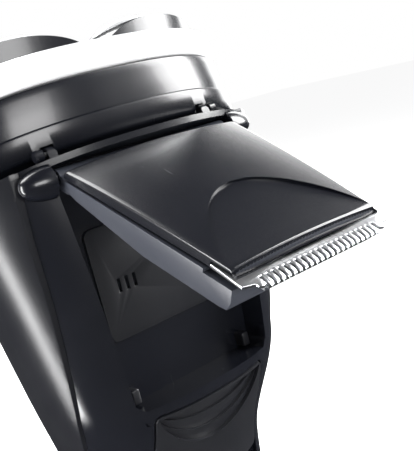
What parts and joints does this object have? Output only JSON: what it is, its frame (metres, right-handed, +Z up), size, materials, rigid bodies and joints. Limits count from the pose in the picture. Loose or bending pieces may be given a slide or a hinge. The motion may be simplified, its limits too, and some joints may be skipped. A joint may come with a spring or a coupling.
{
  "type": "electric shaver",
  "caption": "Rotary electric shaver with three floating shaving heads on a flip-back head unit and a swing-out hair trimmer at the back of the handle.",
  "frame": {"origin": "the middle of the flat base, on the surface the shaver stands on", "axes": "+Z up the handle to the shaving heads, -Y to the front with the power button, +Y to the back with the trimmer, X across"},
  "size_m": [0.0664, 0.0788, 0.1498],
  "materials": {
    "gloss": "deep gloss near-black",
    "satin": "satin near-black",
    "grip": "satin soft-touch",
    "slate": "satin slate grey",
    "silver": "bright satin silver",
    "steel": "brushed",
    "brass": "turned",
    "nylon": "natural nylon",
    "rubber": "matt",
    "board": "solder mask",
    "label": "shrink wrap",
    "lens": "clear lens"
  },
  "bodies": {
    "handle": {"rear_housing": "gloss", "front_housing": "gloss", "left_hinge_fairing": "gloss", "right_hinge_fairing": "gloss", "base_cap": "satin", "charging_socket": "satin", "chassis": "satin", "top_deck": "satin", "left_grip": "grip", "right_grip": "grip", "battery_tab_top": "steel", "battery_tab_bottom": "steel", "base_screw_1": "steel", "base_screw_2": "steel", "housing_screw_1": "steel", "housing_screw_2": "steel", "motor": "steel", "tact_switch": "steel", "release_spring": "steel", "socket_pin_left": "brass", "socket_pin_right": "brass", "deck_seal": "rubber", "circuit_board": "board", "battery_cell": "label", "indicator_lens": "lens"},
    "head_unit": {"hair_chamber": "gloss", "head_frame": "silver", "gear_plate": "satin", "retaining_frame": "satin", "central_axle": "steel", "head_hinge_pin_left": "steel", "head_hinge_pin_right": "steel"},
    "motor_rotor": {"motor_pinion": "brass"},
    "central_gear_body": {"central_gear": "nylon"},
    "lock_dial_body": {"lock_dial": "nylon"},
    "trimmer": {"trimmer_cover": "gloss", "trimmer_tray": "slate", "trimmer_comb": "silver", "trimmer_spring": "steel"},
    "trimmer_cutter_body": {"trimmer_cutter": "steel", "trimmer_lever": "nylon"},
    "slide_body": {"trimmer_slide": "satin"},
    "power_button_body": {"power_button": "satin"},
    "release_button_body": {"head_release_button": "satin"},
    "shaving_head_1": {"head_collar_1": "gloss", "guard_1": "silver"},
    "cutter_body_1": {"cutter_1": "steel"},
    "drive_gear_body_1": {"drive_gear_1": "nylon"},
    "shaving_head_2": {"head_collar_2": "gloss", "guard_2": "silver"},
    "cutter_body_2": {"cutter_2": "steel"},
    "drive_gear_body_2": {"drive_gear_2": "nylon"},
    "shaving_head_3": {"head_collar_3": "gloss", "guard_3": "silver"},
    "cutter_body_3": {"cutter_3": "steel"},
    "drive_gear_body_3": {"drive_gear_3": "nylon"}
  },
  "joints": [
    {"name": "head_flip", "type": "hinge", "parent": "handle", "child": "head_unit", "pos_m": [0, 0.01154, 0.13003], "axis": [-1, 0, 0], "range_deg": [0, 80]},
    {"name": "trimmer_swing", "type": "hinge", "parent": "handle", "child": "trimmer", "pos_m": [0, 0.014, 0.126], "axis": [1, 0, 0], "range_deg": [-61.9, 0]},
    {"name": "trimmer_cutter_stroke", "type": "slide", "parent": "trimmer", "child": "trimmer_cutter_body", "axis": [1, 0, 0], "range_m": [-0.00035, 0.00035]},
    {"name": "trimmer_slide_travel", "type": "slide", "parent": "handle", "child": "slide_body", "axis": [0, -0.3513, -0.9363], "range_m": [0, 0.004]},
    {"name": "power_button_press", "type": "slide", "parent": "handle", "child": "power_button_body", "axis": [0, 1, 0], "range_m": [0, 0.0012], "stiffness_N_per_m": 1200},
    {"name": "release_button_press", "type": "slide", "parent": "handle", "child": "release_button_body", "axis": [0, 1, 0], "range_m": [0, 0.0012], "stiffness_N_per_m": 1200},
    {"name": "central_gear_spin", "type": "hinge", "parent": "head_unit", "child": "central_gear_body", "pos_m": [0, 0.002, 0.12668], "axis": [0, -0.3502, 0.9367], "continuous": true},
    {"name": "motor_spin", "type": "hinge", "parent": "handle", "child": "motor_rotor", "pos_m": [0, -0.0083, 0.12282], "axis": [0, -0.3502, 0.9367], "continuous": true},
    {"name": "lock_dial_turn", "type": "hinge", "parent": "head_unit", "child": "lock_dial_body", "pos_m": [0, -0.00185, 0.13698], "axis": [0, -0.3502, 0.9367], "range_deg": [0, 90]},
    {"name": "shaving_head_float_1", "type": "slide", "parent": "head_unit", "child": "shaving_head_1", "axis": [0, 0.3502, -0.9367], "range_m": [0, 0.0015], "stiffness_N_per_m": 800},
    {"name": "drive_gear_spin_1", "type": "hinge", "parent": "head_unit", "child": "drive_gear_body_1", "pos_m": [0.0122, 0.00454, 0.12762], "axis": [0, -0.3502, 0.9367], "continuous": true},
    {"name": "cutter_spin_1", "type": "hinge", "parent": "shaving_head_1", "child": "cutter_body_1", "pos_m": [0.0122, 0.00454, 0.12762], "axis": [0, -0.3502, 0.9367], "continuous": true},
    {"name": "shaving_head_float_2", "type": "slide", "parent": "head_unit", "child": "shaving_head_2", "axis": [0, 0.3502, -0.9367], "range_m": [0, 0.0015], "stiffness_N_per_m": 800},
    {"name": "drive_gear_spin_2", "type": "hinge", "parent": "head_unit", "child": "drive_gear_body_2", "pos_m": [-0.0122, 0.00454, 0.12762], "axis": [0, -0.3502, 0.9367], "continuous": true},
    {"name": "cutter_spin_2", "type": "hinge", "parent": "shaving_head_2", "child": "cutter_body_2", "pos_m": [-0.0122, 0.00454, 0.12762], "axis": [0, -0.3502, 0.9367], "continuous": true},
    {"name": "shaving_head_float_3", "type": "slide", "parent": "head_unit", "child": "shaving_head_3", "axis": [0, 0.3502, -0.9367], "range_m": [0, 0.0015], "stiffness_N_per_m": 800},
    {"name": "drive_gear_spin_3", "type": "hinge", "parent": "head_unit", "child": "drive_gear_body_3", "pos_m": [0, -0.0097, 0.1223], "axis": [0, -0.3502, 0.9367], "continuous": true},
    {"name": "cutter_spin_3", "type": "hinge", "parent": "shaving_head_3", "child": "cutter_body_3", "pos_m": [0, -0.0097, 0.1223], "axis": [0, -0.3502, 0.9367], "continuous": true}
  ],
  "couplings": [
    {"joint": "motor_spin", "follows": "central_gear_spin", "ratio": -3.5},
    {"joint": "drive_gear_spin_1", "follows": "central_gear_spin", "ratio": -1},
    {"joint": "cutter_spin_1", "follows": "central_gear_spin", "ratio": -1},
    {"joint": "drive_gear_spin_2", "follows": "central_gear_spin", "ratio": -1},
    {"joint": "cutter_spin_2", "follows": "central_gear_spin", "ratio": -1},
    {"joint": "drive_gear_spin_3", "follows": "central_gear_spin", "ratio": -1},
    {"joint": "cutter_spin_3", "follows": "central_gear_spin", "ratio": -1}
  ]
}
